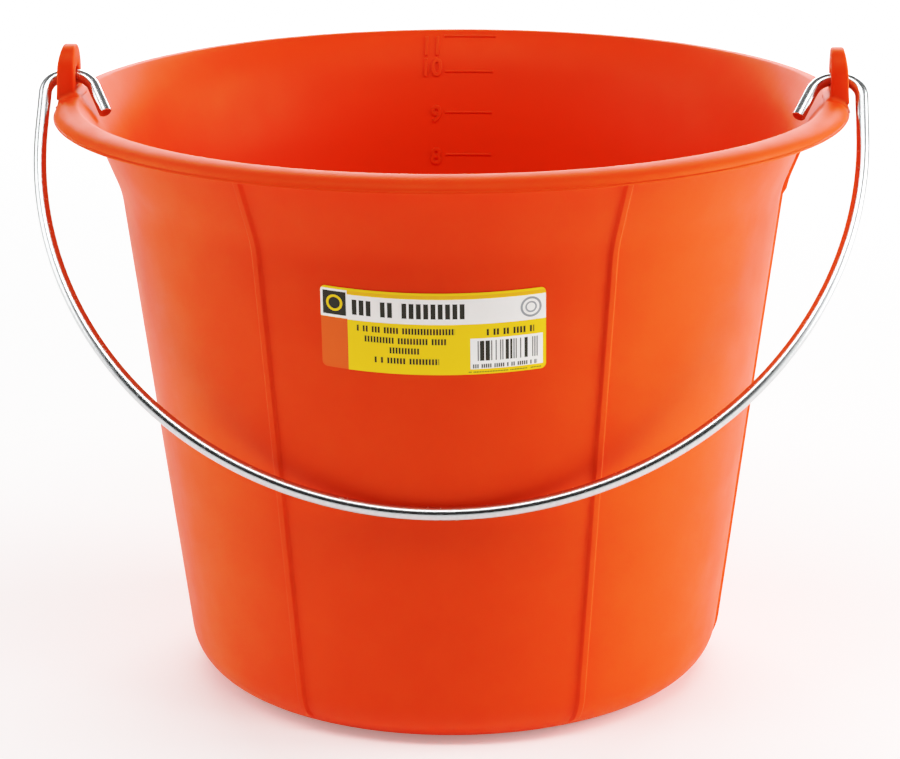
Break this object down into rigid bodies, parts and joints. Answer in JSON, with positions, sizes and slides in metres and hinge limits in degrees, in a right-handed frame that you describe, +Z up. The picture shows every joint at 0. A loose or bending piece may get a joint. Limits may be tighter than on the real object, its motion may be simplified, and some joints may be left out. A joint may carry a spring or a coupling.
{
  "type": "bucket",
  "caption": "Round moulded plastic bucket with a flared rolled rim, raised ribs, litre marks inside, hinge ears, a swinging wire bail and a front label.",
  "frame": {"origin": "on the floor under the bucket's axis, with the bail hanging at rest against the front wall", "axes": "+X along the bail's hinge line, -Y towards the front with the label, +Z up along the bucket's axis"},
  "size_m": [0.3352, 0.32, 0.26],
  "materials": {
    "shell_polyethylene": "satin orange-red moulded polyethylene",
    "bail_zinc_wire": "bright zinc-plated drawn steel wire",
    "label_film": "printed satin sticker"
  },
  "bodies": {
    "bucket": {"bucket_shell": "shell_polyethylene", "front_label": "label_film"},
    "bail": {"wire_bail": "bail_zinc_wire"}
  },
  "joints": [
    {"name": "bail_swing", "type": "hinge", "parent": "bucket", "child": "bail", "pos_m": [0, 0, 0.247], "axis": [-1, 0, 0], "range_deg": [0, 278]}
  ]
}
